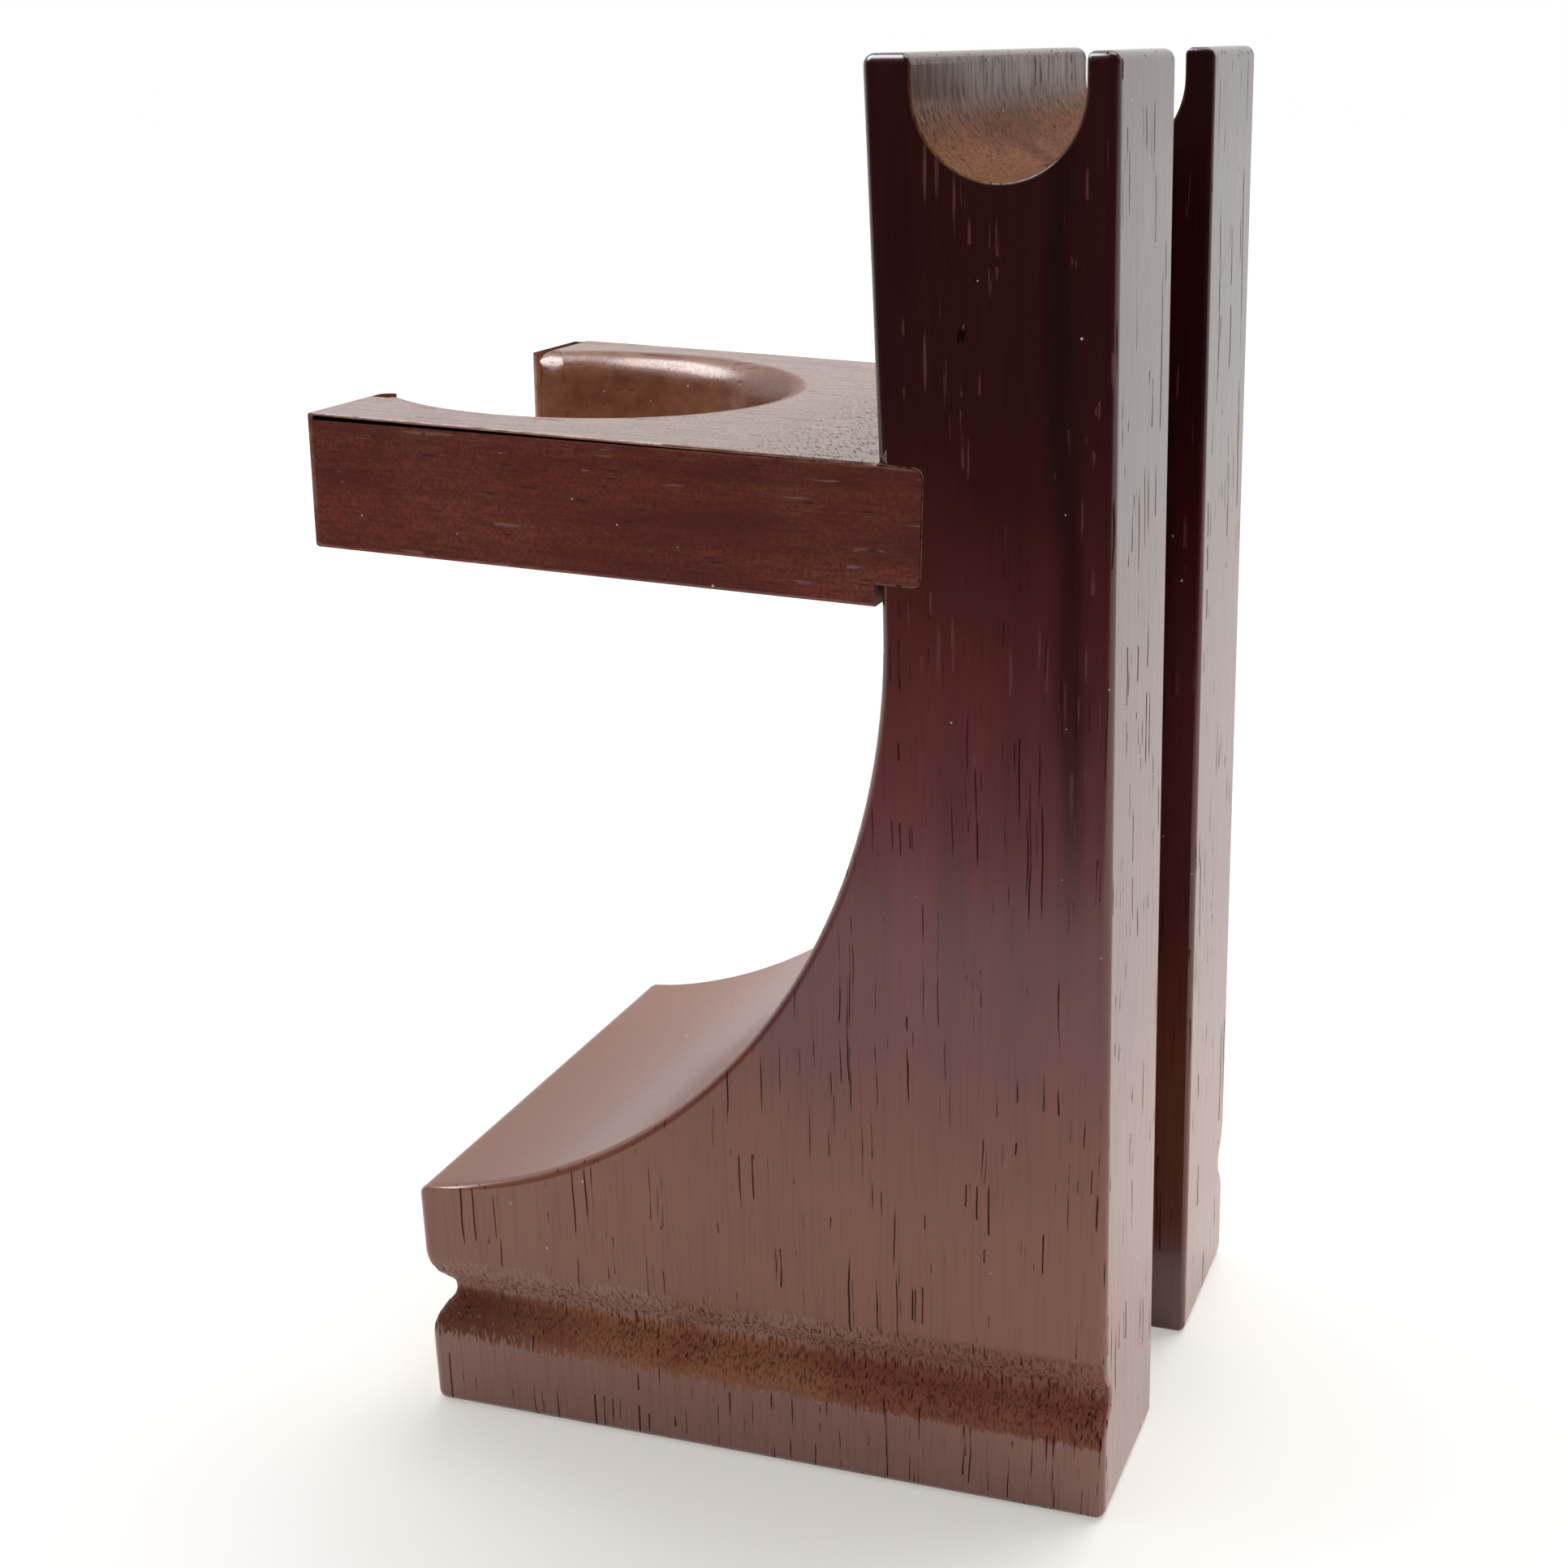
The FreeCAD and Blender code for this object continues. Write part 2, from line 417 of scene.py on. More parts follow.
class Finish:
    """A node tree being filled in: a finish, a group that finishes share, or the room."""

    def __init__(self, tree):
        self.tree = tree
        self.column = 0

    def node(self, kind, **settings):
        made = self.tree.nodes.new("ShaderNode" + kind)
        made.location = (self.column * 180, -(self.column % 4) * 160)
        self.column += 1
        for setting, value in settings.items():
            if setting == "sockets":
                for socket, given in value.items():
                    self.feed(made.inputs[socket], given)
            else:
                setattr(made, setting, value)
        return made

    def feed(self, socket, given):
        if isinstance(given, bpy.types.NodeSocket):
            self.tree.links.new(given, socket)
        else:
            socket.default_value = given

    def math(self, operation, first, second=0.0, third=0.0):
        made = self.node("Math", operation=operation)
        for socket, given in zip(made.inputs, (first, second, third)):
            self.feed(socket, given)
        return made.outputs[0]

    def times(self, first, second):
        return self.math("MULTIPLY", first, second)

    def plus(self, first, second):
        return self.math("ADD", first, second)

    def rest(self, share):
        """What is left of 1."""
        return self.math("SUBTRACT", 1.0, share)

    def ramp(self, value, low, high, start=0.0, end=1.0):
        made = self.node("MapRange", interpolation_type="SMOOTHSTEP")
        for socket, given in zip(("Value", "From Min", "From Max", "To Min", "To Max"),
                                 (value, low, high, start, end)):
            self.feed(made.inputs[socket], given)
        return made.outputs[0]

    def blend(self, share, first, second):
        made = self.node("Mix", data_type="RGBA", blend_type="MIX")
        self.feed(made.inputs[0], share)
        self.feed(made.inputs[6], first)
        self.feed(made.inputs[7], second)
        return made.outputs[2]

    def value_at(self, name):
        """Reads one of the values marked on the mesh."""
        return self.node("Attribute", attribute_name=name).outputs["Fac"]

    def show(self, shader):
        """Puts the shader on the surface."""
        output = self.node("OutputMaterial")
        self.tree.links.new(shader.outputs[0], output.inputs["Surface"])


def shared_group(name, inputs, outputs):
    """A node group with named inputs (name, kind, value) and outputs (name, kind)."""
    tree = bpy.data.node_groups.new(name, "ShaderNodeTree")
    for socket, kind, value in inputs:
        made = tree.interface.new_socket(socket, in_out="INPUT", socket_type="NodeSocket" + kind)
        if value is not None:
            made.default_value = value
    for socket, kind in outputs:
        tree.interface.new_socket(socket, in_out="OUTPUT", socket_type="NodeSocket" + kind)
    group = Finish(tree)
    group.given = tree.nodes.new("NodeGroupInput")
    group.result = tree.nodes.new("NodeGroupOutput")
    return group


# Open pores: short spindles lying along the grain (Z), cut through by each surface.
pores = shared_group("open_pores",
                     [("Vector", "Vector", None), ("Spacing", "Float", 0.0005), ("Stretch", "Float", 20.0),
                      ("Size", "Float", 0.25), ("Share", "Float", 0.6), ("Waver", "Float", 0.0003)],
                     [("Pore", "Float")])
given = pores.given.outputs
sway = pores.node("TexNoise", sockets={"Vector": given["Vector"], "Scale": 85.0, "Detail": 3.0})
sway = pores.node("VectorMath", operation="SUBTRACT", sockets={0: sway.outputs["Color"], 1: (0.5, 0.5, 0.5)})
sway = pores.node("VectorMath", operation="SCALE", sockets={0: sway.outputs[0], "Scale": given["Waver"]})
place = pores.node("VectorMath", operation="ADD", sockets={0: given["Vector"], 1: sway.outputs[0]})
across = pores.math("DIVIDE", 1.0, given["Spacing"])
along = pores.math("DIVIDE", across, given["Stretch"])
scale = pores.node("CombineXYZ", sockets={"X": across, "Y": across, "Z": along})
place = pores.node("VectorMath", operation="MULTIPLY", sockets={0: place.outputs[0], 1: scale.outputs[0]})
cells = pores.node("TexVoronoi", feature="F1", sockets={"Vector": place.outputs[0], "Scale": 1.0})
chance = pores.node("SeparateColor", sockets={0: cells.outputs["Color"]})
patch = pores.node("TexNoise", sockets={"Vector": given["Vector"], "Scale": 170.0, "Detail": 1.0})
share = pores.times(given["Share"], pores.ramp(patch.outputs["Fac"], 0.40, 0.62, 0.25, 1.55))
kept = pores.math("LESS_THAN", chance.outputs[0], share)
radius = pores.times(given["Size"], pores.ramp(chance.outputs[1], 0.0, 1.0, 0.45, 1.0))
core = pores.times(radius, 0.55)
hollow = pores.ramp(cells.outputs["Distance"], core, radius, 1.0, 0.0)
pores.feed(pores.result.inputs["Pore"], pores.times(hollow, kept))

# Grain: fine fibres and broader growth bands, both drawn out along Z.
grain = shared_group("grain_lines",
                     [("Vector", "Vector", None), ("Fibre Width", "Float", 0.0003),
                      ("Band Width", "Float", 0.004)],
                     [("Fibre", "Float"), ("Band", "Float"), ("Cloud", "Float")])
given = grain.given.outputs
thin = grain.math("DIVIDE", 1.0, given["Fibre Width"])
scale = grain.node("CombineXYZ", sockets={"X": thin, "Y": thin, "Z": grain.times(thin, 0.035)})
place = grain.node("VectorMath", operation="MULTIPLY", sockets={0: given["Vector"], 1: scale.outputs[0]})
fibre = grain.node("TexNoise", sockets={"Vector": place.outputs[0], "Scale": 1.0, "Detail": 3.0})
wide = grain.math("DIVIDE", 1.0, given["Band Width"])
scale = grain.node("CombineXYZ", sockets={"X": wide, "Y": wide, "Z": grain.times(wide, 0.08)})
place = grain.node("VectorMath", operation="MULTIPLY", sockets={0: given["Vector"], 1: scale.outputs[0]})
band = grain.node("TexNoise", sockets={"Vector": place.outputs[0], "Scale": 1.0, "Detail": 2.0})
cloud = grain.node("TexNoise", sockets={"Vector": given["Vector"], "Scale": 70.0, "Detail": 3.0})
grain.feed(grain.result.inputs["Fibre"], fibre.outputs["Fac"])
grain.feed(grain.result.inputs["Band"], band.outputs["Fac"])
grain.feed(grain.result.inputs["Cloud"], cloud.outputs["Fac"])

# Dust: a few tiny pale specks caught on the surface.
dust = shared_group("dust_specks",
                    [("Vector", "Vector", None), ("Spacing", "Float", 0.002), ("Size", "Float", 0.00011)],
                    [("Speck", "Float")])
given = dust.given.outputs
near_speck = dust.node("TexVoronoi", feature="F1", sockets={
    "Vector": given["Vector"], "Scale": dust.math("DIVIDE", 1.0, given["Spacing"])})
chance = dust.node("SeparateColor", sockets={0: near_speck.outputs["Color"]})
size = dust.math("DIVIDE", given["Size"], given["Spacing"])
size = dust.times(size, dust.ramp(chance.outputs[1], 0.0, 1.0, 0.5, 1.0))
speck = dust.math("LESS_THAN", near_speck.outputs["Distance"], size)
dust.feed(dust.result.inputs["Speck"], speck)


def use_group(finish, group, **sockets):
    made = finish.node("Group", node_tree=group.tree)
    for socket, given in sockets.items():
        finish.feed(made.inputs[socket.replace("_", " ")], given)
    return made.outputs


def start_finish(owner):
    """An empty node tree in a material or the world, ready to be filled in."""
    owner.use_nodes = True
    owner.node_tree.nodes.clear()
    return Finish(owner.node_tree)


STAIN_DARK = (0.155, 0.018, 0.018, 1)
STAIN_RED = (0.235, 0.036, 0.024, 1)
STAIN_WARM = (0.255, 0.052, 0.032, 1)
# Painted light and shade: the next four colours grade the side from a lit, pale foot to a shaded, near-black
# top.
FOOT_PAINTED_LIGHT_BROWN = (0.400, 0.155, 0.092, 1)
PLINTH_PAINTED_SHEEN_PALE = (0.430, 0.225, 0.185, 1)
MIDDLE_PAINTED_SHEEN_PURPLE = (0.200, 0.085, 0.095, 1)
TOP_PAINTED_SHADE_BLACK_RED = (0.025, 0.0006, 0.002, 1)
FIBRE_DARK = (0.070, 0.014, 0.012, 1)
RING_DARK = (0.018, 0.0015, 0.004, 1)
# Painted shade inside the slot.
SLOT_PAINTED_SHADE = (0.030, 0.003, 0.003, 1)
BARE_DARK = (0.185, 0.064, 0.027, 1)
BARE_LIGHT = (0.320, 0.125, 0.050, 1)
TORN_RED = (0.400, 0.115, 0.068, 1)
TORN_ORANGE = (0.500, 0.205, 0.105, 1)
# Painted reflection: the pale floor seen in the groove's upper slope.
TORN_SHEEN_GREY = (0.440, 0.230, 0.160, 1)
TORN_SHEEN_PALE = (0.520, 0.310, 0.250, 1)
TORN_BACK = (0.340, 0.128, 0.086, 1)
TORN_SHADE = (0.090, 0.026, 0.016, 1)
TOE_RED = (0.110, 0.020, 0.018, 1)
SANDED = (0.300, 0.140, 0.105, 1)
# Painted highlight on the upper post's pores.
PORE_GLINT_PALE = (0.210, 0.075, 0.075, 1)
PORE_DARK = (0.045, 0.010, 0.006, 1)
CHANNEL_PORE = (0.055, 0.020, 0.014, 1)
SPECK_PALE = (0.75, 0.68, 0.60, 1)

wood = start_finish(body.data.materials[0])
object_place = wood.node("TexCoord").outputs["Object"]
up_grain = wood.node("Mapping", sockets={"Vector": object_place, "Rotation": (0.012, -0.02, 0.0)}).outputs[0]
lines = use_group(wood, grain, Vector=up_grain, Fibre_Width=0.00034, Band_Width=0.0050)
flat_sawn = wood.node("Mapping", sockets={"Vector": up_grain, "Scale": (0.50, 1.0, 1.0)}).outputs[0]
short = use_group(wood, pores, Vector=flat_sawn, Spacing=0.00030, Stretch=46.0, Size=0.28, Share=0.20,
                  Waver=0.0005)
long = use_group(wood, pores, Vector=flat_sawn, Spacing=0.00033, Stretch=150.0, Size=0.32, Share=0.72,
                 Waver=0.0009)
broad = use_group(wood, pores, Vector=flat_sawn, Spacing=0.00070, Stretch=15.0, Size=0.34, Share=1.1,
                  Waver=0.0004)
crossed = use_group(wood, pores, Vector=up_grain, Spacing=0.00048, Stretch=9.0, Size=0.46, Share=1.1,
                    Waver=0.0002)
steps = wood.node("SeparateXYZ", sockets={0: object_place})
height = steps.outputs["Z"]
upper = wood.ramp(height, 0.055, 0.072)
torn_share = wood.value_at("torn")
swept = wood.value_at("swept")
speck = use_group(wood, dust, Vector=object_place, Spacing=0.0034, Size=0.00013)["Speck"]
pore = wood.math("MAXIMUM", short["Pore"], long["Pore"])
pore = wood.times(pore, wood.rest(swept))
# Painted highlight: pores on the upper post are painted pale, for light caught at their edges.
pore_glint = wood.times(wood.times(broad["Pore"], wood.ramp(lines["Fibre"], 0.42, 0.52)), upper)

# The channel's floor is end grain, which took less stain; its walls show open pores.
drop = wood.math("MINIMUM", wood.math("SUBTRACT", height, CHANNEL_Z), 0.0)
level = wood.math("SUBTRACT", steps.outputs["Y"], CHANNEL_Y)
out = wood.math("SQRT", wood.plus(wood.times(drop, drop), wood.times(level, level)))
channel = wood.ramp(out, CHANNEL_RADIUS + 0.10 * MM, CHANNEL_RADIUS + 0.25 * MM, 1.0, 0.0)
bare = wood.times(channel, wood.ramp(height, CHANNEL_Z - 4 * MM, CHANNEL_Z + 1 * MM, 1.0, 0.30))
crossed = wood.math("MAXIMUM", crossed["Pore"], wood.ramp(lines["Fibre"], 0.50, 0.62, 0.0, 0.7))
crossed = wood.times(crossed, channel)

# Torn fibres: short upright ticks that also break up the groove's edges.
ticks = wood.node("Mapping", sockets={"Vector": object_place, "Scale": (4200.0, 4200.0, 800.0)})
ticks = wood.node("TexNoise", sockets={"Vector": ticks.outputs[0], "Scale": 1.0, "Detail": 3.0})
ticks = ticks.outputs["Fac"]
ragged = wood.plus(torn_share, wood.times(wood.math("SUBTRACT", ticks, 0.5), 1.6))
ragged = wood.times(wood.ramp(ragged, 0.26, 0.50), wood.ramp(torn_share, 0.0, 0.10))

# A dark growth ring a few millimetres in from the back runs up the whole post.
ring_wave = wood.node("Mapping", sockets={"Vector": object_place, "Scale": (60.0, 60.0, 26.0)}).outputs[0]
ring_wave = wood.node("TexNoise", sockets={"Vector": ring_wave, "Scale": 1.0, "Detail": 3.0}).outputs["Fac"]
ring_place = wood.plus(steps.outputs["Y"], wood.times(wood.math("SUBTRACT", ring_wave, 0.5), 0.006))
ring = wood.math("ABSOLUTE", wood.math("SUBTRACT", ring_place, BACK - 4.2 * MM))
ring = wood.times(wood.ramp(ring, 0.2 * MM, 1.9 * MM, 0.65, 0.0), wood.ramp(height, 0.045, 0.075))

stain = wood.blend(wood.ramp(lines["Band"], 0.35, 0.65), STAIN_DARK, STAIN_RED)
stain = wood.blend(wood.ramp(lines["Cloud"], 0.40, 0.65, 0.0, 0.5), stain, STAIN_WARM)
# Painted light: the side is painted lighter brown towards the foot, pale at the plinth and purple in the
# middle, standing in for the floor's bounce light and its pale sheen in the lacquer.
stain = wood.blend(wood.ramp(height, 0.018, 0.055, 0.80, 0.0), stain, FOOT_PAINTED_LIGHT_BROWN)
stain = wood.blend(wood.ramp(height, 0.008, 0.013, 0.5, 0.0), stain, PLINTH_PAINTED_SHEEN_PALE)
middle = wood.times(wood.ramp(height, 0.036, 0.052), wood.ramp(height, 0.066, 0.088, 0.35, 0.0))
stain = wood.blend(middle, stain, MIDDLE_PAINTED_SHEEN_PURPLE)
# Painted shade: the upper post is painted near black-red, darker towards the top, standing in for the dim
# light that falls there.
deep = wood.plus(height, wood.times(wood.math("SUBTRACT", lines["Cloud"], 0.5), 0.02))
stain = wood.blend(wood.ramp(deep, 0.056, 0.104, 0.0, 0.90), stain, TOP_PAINTED_SHADE_BLACK_RED)
stain = wood.blend(wood.ramp(lines["Fibre"], 0.48, 0.66, 0.0, 0.15), stain, FIBRE_DARK)
stain = wood.blend(ring, stain, RING_DARK)
# Painted shade: the slot's walls are painted darker, for the shade inside the recess.
off_middle = wood.math("ABSOLUTE", steps.outputs["X"])
in_slot = wood.ramp(off_middle, SLOT_WIDTH / 2 - 0.2 * MM, SLOT_WIDTH / 2 + 0.3 * MM, 1.0, 0.0)
slot_floor = BACK - SLOT_DEPTH
in_slot = wood.times(in_slot, wood.ramp(steps.outputs["Y"], slot_floor - 0.6 * MM, slot_floor))
stain = wood.blend(wood.times(in_slot, 0.75), stain, SLOT_PAINTED_SHADE)
bare_stain = wood.ramp(lines["Cloud"], 0.40, 0.60)
bare_stain = wood.blend(bare_stain, BARE_DARK, BARE_LIGHT)
stain = wood.blend(wood.times(bare, 0.9), stain, bare_stain)
patches = wood.ramp(lines["Cloud"], 0.42, 0.58)
torn_stain = wood.blend(patches, TORN_RED, TORN_ORANGE)
split_height = wood.plus(height, wood.times(wood.math("SUBTRACT", ticks, 0.5), 0.003))
# Painted reflection: the groove's upper, downward-facing slope is painted pale grey, for the pale floor seen
# in it.
upper_slope_sheen = wood.blend(patches, TORN_SHEEN_GREY, TORN_SHEEN_PALE)
torn_stain = wood.blend(wood.ramp(split_height, GROOVE_Z - 0.4 * MM, GROOVE_Z + 0.6 * MM), torn_stain, upper_slope_sheen)
torn_stain = wood.blend(wood.ramp(steps.outputs["Y"], 0.0, 0.033, 0.0, 0.5), torn_stain, TORN_BACK)
torn_stain = wood.blend(wood.ramp(ticks, 0.34, 0.54, 0.75, 0.0), torn_stain, TORN_SHADE)
toe_red = wood.times(wood.ramp(steps.outputs["Y"], -0.031, -0.010, 0.75, 0.0),
                    wood.ramp(height, GROOVE_Z - 0.2 * MM, GROOVE_Z + 0.6 * MM, 1.0, 0.0))
torn_stain = wood.blend(toe_red, torn_stain, TOE_RED)
stain = wood.blend(wood.times(ragged, 0.92), stain, torn_stain)
sanded = wood.times(swept, wood.ramp(height, 0.028, 0.050, 0.75, 0.45))
stain = wood.blend(sanded, stain, SANDED)
colour = wood.blend(wood.times(pore_glint, 0.58), stain, PORE_GLINT_PALE)
faded = wood.times(pore, wood.ramp(height, 0.070, 0.095, 0.92, 0.45))
colour = wood.blend(faded, colour, PORE_DARK)
colour = wood.blend(wood.times(crossed, 0.65), colour, CHANNEL_PORE)
colour = wood.blend(speck, colour, SPECK_PALE)
rough = wood.ramp(lines["Fibre"], 0.3, 0.7, 0.30, 0.38)
rough = wood.plus(rough, wood.times(pore, 0.5))
rough = wood.plus(rough, wood.times(ragged, 0.45))
rough = wood.plus(rough, wood.times(bare, 0.35))
rough = wood.plus(rough, wood.times(swept, 0.25))
sealed = wood.times(wood.rest(pore), 0.78)
for dull, share in ((ragged, 0.92), (bare, 0.92), (crossed, 0.7), (swept, 0.35), (speck, 1.0)):
    sealed = wood.times(sealed, wood.rest(wood.times(dull, share)))
relief = wood.math("SUBTRACT", wood.times(lines["Fibre"], 0.12), pore)
relief = wood.plus(relief, wood.times(wood.times(ragged, ticks), 1.6))
bump = wood.node("Bump", sockets={"Height": relief, "Distance": 0.00007, "Strength": 0.7}).outputs[0]
surface = wood.node("BsdfPrincipled", sockets={
    "Base Color": colour, "Roughness": rough, "Normal": bump, "Coat Weight": sealed,
    "Coat Roughness": 0.19, "Coat IOR": 1.65, "IOR": 1.5, "Specular IOR Level": 0.05})
wood.show(surface)
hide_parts("body")
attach(body, "root")

# ---------------------------------------------------------------------------
# The brush fork: a flat arm of the same wood, grain running out to its tip,
# with an open round seat for a brush. A tongue on its back is glued in a
# housing across the post.
# ---------------------------------------------------------------------------
FORK_THICK = 11.5 * MM
FORK_REACH = 51.4 * MM
SEAT_RADIUS = 16.8 * MM
SEAT_X = -1.0 * MM
SEAT_FROM_TIP = 13.8 * MM
THROAT_HALF = 13.5 * MM
LIP = 3.2 * MM
SEAT_UNDER_ARRIS = 0.5 * MM
MOUTH_ARRIS = 1.2 * MM
CHIPPED_ARRIS = 0.5 * MM
SIDE_UNDER_ARRIS = 0.35 * MM
CORNER_ARRIS = 0.9 * MM
TIP_ARRIS = 1.6 * MM
ARM_ARRIS = 0.45 * MM
CHIP_CUTS = 180

tip = POST_FACE - FORK_REACH
fork = block("brush_arm", (-HALF_WIDTH, tip, FORK_TOP - FORK_THICK), (HALF_WIDTH, POST_FACE, FORK_TOP))
start_editing(fork)
# The tongue: the back face is parted below the top and its upper part drawn out.
bpy.ops.mesh.select_all(action="SELECT")
bpy.ops.mesh.bisect(plane_co=(0, 0, FORK_TOP - TONGUE_THICK + JOINT_LINE), plane_no=(0, 0, 1))
bpy.ops.mesh.select_all(action="SELECT")
bpy.ops.mesh.bisect(plane_co=(0, 0, FORK_TOP - JOINT_LINE), plane_no=(0, 0, 1))
pick(fork, "FACE", lambda face: face.normal.y > 0.9 and near(
    face.calc_center_median().z, FORK_TOP - TONGUE_THICK / 2, 1 * MM))
bpy.ops.mesh.extrude_region_move(TRANSFORM_OT_translate={"value": (0, TONGUE_LONG - JOINT_LINE, 0)})
pick(fork, "EDGE", lambda edge: all(near(v.co.y, POST_FACE + TONGUE_LONG - JOINT_LINE) for v in edge.verts)
     and abs(edge.verts[0].co.x - edge.verts[1].co.x) > HALF_WIDTH)
bpy.ops.mesh.bevel(offset=TONGUE_ROUND, segments=5, affect="EDGES")
stop_editing()

# The seat is bored, then sawn open to the tip.
deselect()
bpy.ops.mesh.primitive_cylinder_add(vertices=160, radius=SEAT_RADIUS, depth=4 * FORK_THICK,
                                    location=(SEAT_X, tip + SEAT_FROM_TIP, FORK_TOP))
bore = bpy.context.object
bpy.ops.object.transform_apply(location=True, rotation=True, scale=True)
cut_away(fork, bore)
throat = block("throat", (SEAT_X - THROAT_HALF, tip - CLEAR, FORK_TOP - 2 * FORK_THICK),
               (SEAT_X + THROAT_HALF, tip + SEAT_FROM_TIP, FORK_TOP + FORK_THICK))
cut_away(fork, throat)


def fork_arris(edge, middle):
    """The radius of each of the arm's arrises, by where it lies."""
    flat = abs(edge.verts[0].co.z - edge.verts[1].co.z) < 0.01 * MM
    at_top = middle.z > FORK_TOP - 0.05 * MM
    at_bottom = middle.z < FORK_TOP - FORK_THICK + 0.05 * MM
    out = math.hypot(middle.x - SEAT_X, middle.y - tip - SEAT_FROM_TIP)
    in_mouth = abs(middle.x - SEAT_X) < THROAT_HALF + 0.1 * MM and middle.y < tip + SEAT_FROM_TIP
    if middle.y > POST_FACE - 0.05 * MM:
        return 0.0
    if out < SEAT_RADIUS + 0.1 * MM or in_mouth:
        if at_top:
            return LIP
        return SEAT_UNDER_ARRIS if at_bottom else MOUTH_ARRIS
    if abs(middle.x) > HALF_WIDTH - 0.1 * MM:
        if not flat:
            return CORNER_ARRIS
        return CHIPPED_ARRIS if at_top else SIDE_UNDER_ARRIS
    if at_top and middle.y < tip + 0.1 * MM and middle.x < SEAT_X:
        return TIP_ARRIS
    return ARM_ARRIS


fork.data.materials.append(bpy.data.materials.new("fork_wood"))
fork.data.materials.append(bpy.data.materials["eased"])
round_arrises(fork, fork_arris, 6)
# Chips: the long top arrises are divided finely and roughened.
start_editing(fork)
pick(fork, "EDGE", lambda edge: all(v.co.z > FORK_TOP - 0.55 * MM and abs(v.co.x) > HALF_WIDTH - 0.55 * MM
                                    for v in edge.verts) and edge.calc_length() > LONG_EDGE)
bpy.ops.mesh.subdivide(number_cuts=CHIP_CUTS)
stop_editing()
chipped = fork.vertex_groups.new(name="chip_depth")
for vertex in fork.data.vertices:
    down = FORK_TOP - vertex.co.z
    inward = HALF_WIDTH - abs(vertex.co.x)
    if 0.01 * MM < down < 0.49 * MM and 0.01 * MM < inward < 0.49 * MM and vertex.co.y < POST_FACE - 1 * MM:
        chipped.add([vertex.index], 1.0, "REPLACE")
roughen(fork, "chip_depth", grain_size=0.9 * MM, layers=3, depth=0.13 * MM, level=1.25)
tilt_fork(fork)
mark_eased(fork)


def in_seat(vertex):
    """1 on the seat's wall and lip, fading out before the flat top and underside."""
    place = vertex.co
    if place.z < FORK_TOP - FORK_THICK + 0.05 * MM:
        return 0.0
    reach = SEAT_RADIUS + LIP - math.hypot(place.x - SEAT_X, place.y - tip - SEAT_FROM_TIP)
    if place.y < tip + SEAT_FROM_TIP:
        reach = max(reach, THROAT_HALF + LIP - abs(place.x - SEAT_X))
    return min(1.0, max(0.0, (reach - 0.1 * MM) / (1.2 * MM)))


def end_grain(vertex):
    """The back of the seat cuts the grain across, so it is rough and drinks the stain."""
    back = (vertex.co.y - tip - SEAT_FROM_TIP) / SEAT_RADIUS
    return in_seat(vertex) * min(1.0, max(0.0, back * 1.6 - 0.5))


mark(fork, "seat", in_seat)
mark(fork, "end_grain", end_grain)
smooth(fork)
ARM_DARK = (0.155, 0.018, 0.013, 1)
ARM_RED = (0.265, 0.042, 0.022, 1)
ARM_WARM = (0.290, 0.066, 0.036, 1)
ARM_FIBRE = (0.110, 0.016, 0.012, 1)
ARM_GRIT = (0.095, 0.022, 0.014, 1)
SEAT_BROWN = (0.320, 0.100, 0.042, 1)
SEAT_ORANGE = (0.470, 0.180, 0.078, 1)
END_GRAIN_DARK = (0.090, 0.034, 0.022, 1)
END_GRAIN_LIGHT = (0.220, 0.100, 0.070, 1)
ARM_PORE = (0.050, 0.012, 0.009, 1)
STREAK_DARK = (0.085, 0.020, 0.016, 1)
STREAK_PALE = (0.36, 0.17, 0.14, 1)
ARM_TOP_LIGHT = (0.360, 0.170, 0.100, 1)
ARM_TOP_DARK = (0.190, 0.062, 0.040, 1)
TEAR_DARK = (0.070, 0.020, 0.014, 1)
# Partly wear, partly painted highlight on the arm's arrises.
EDGE_WEAR_AND_HIGHLIGHT_PALE = (0.40, 0.20, 0.14, 1)

wood = start_finish(fork.data.materials[0])
object_place = wood.node("TexCoord").outputs["Object"]
out_grain = wood.node("Mapping", sockets={
    "Vector": object_place, "Rotation": (math.radians(90), 0.0, 0.0)}).outputs[0]
out_grain = wood.node("Mapping", sockets={"Vector": out_grain, "Rotation": (0.03, 0.07, 0.0)}).outputs[0]
lines = use_group(wood, grain, Vector=out_grain, Fibre_Width=0.00022, Band_Width=0.0035)
short = use_group(wood, pores, Vector=out_grain, Spacing=0.00034, Stretch=30.0, Size=0.24, Share=0.55,
                  Waver=0.0003)
long = use_group(wood, pores, Vector=out_grain, Spacing=0.00080, Stretch=30.0, Size=0.30, Share=0.75,
                 Waver=0.0009)
eased = wood.value_at("eased")
seat = wood.value_at("seat")
across_grain = wood.value_at("end_grain")
speck = use_group(wood, dust, Vector=object_place, Spacing=0.0024, Size=0.00012)["Speck"]
grit = wood.node("TexNoise", sockets={"Vector": object_place, "Scale": 3400.0, "Detail": 3.0}).outputs["Fac"]
mottle = wood.node("TexNoise", sockets={"Vector": object_place, "Scale": 500.0, "Detail": 4.0}).outputs["Fac"]
stain = wood.blend(wood.ramp(lines["Band"], 0.35, 0.65), ARM_DARK, ARM_RED)
stain = wood.blend(wood.ramp(lines["Cloud"], 0.40, 0.65, 0.0, 0.5), stain, ARM_WARM)
stain = wood.blend(wood.ramp(lines["Fibre"], 0.40, 0.70, 0.0, 0.5), stain, ARM_FIBRE)
stain = wood.blend(wood.ramp(grit, 0.42, 0.62, 0.0, 0.55), stain, ARM_GRIT)
seat_stain = wood.blend(wood.ramp(mottle, 0.30, 0.70), SEAT_BROWN, SEAT_ORANGE)
stain = wood.blend(wood.times(seat, 0.8), stain, seat_stain)
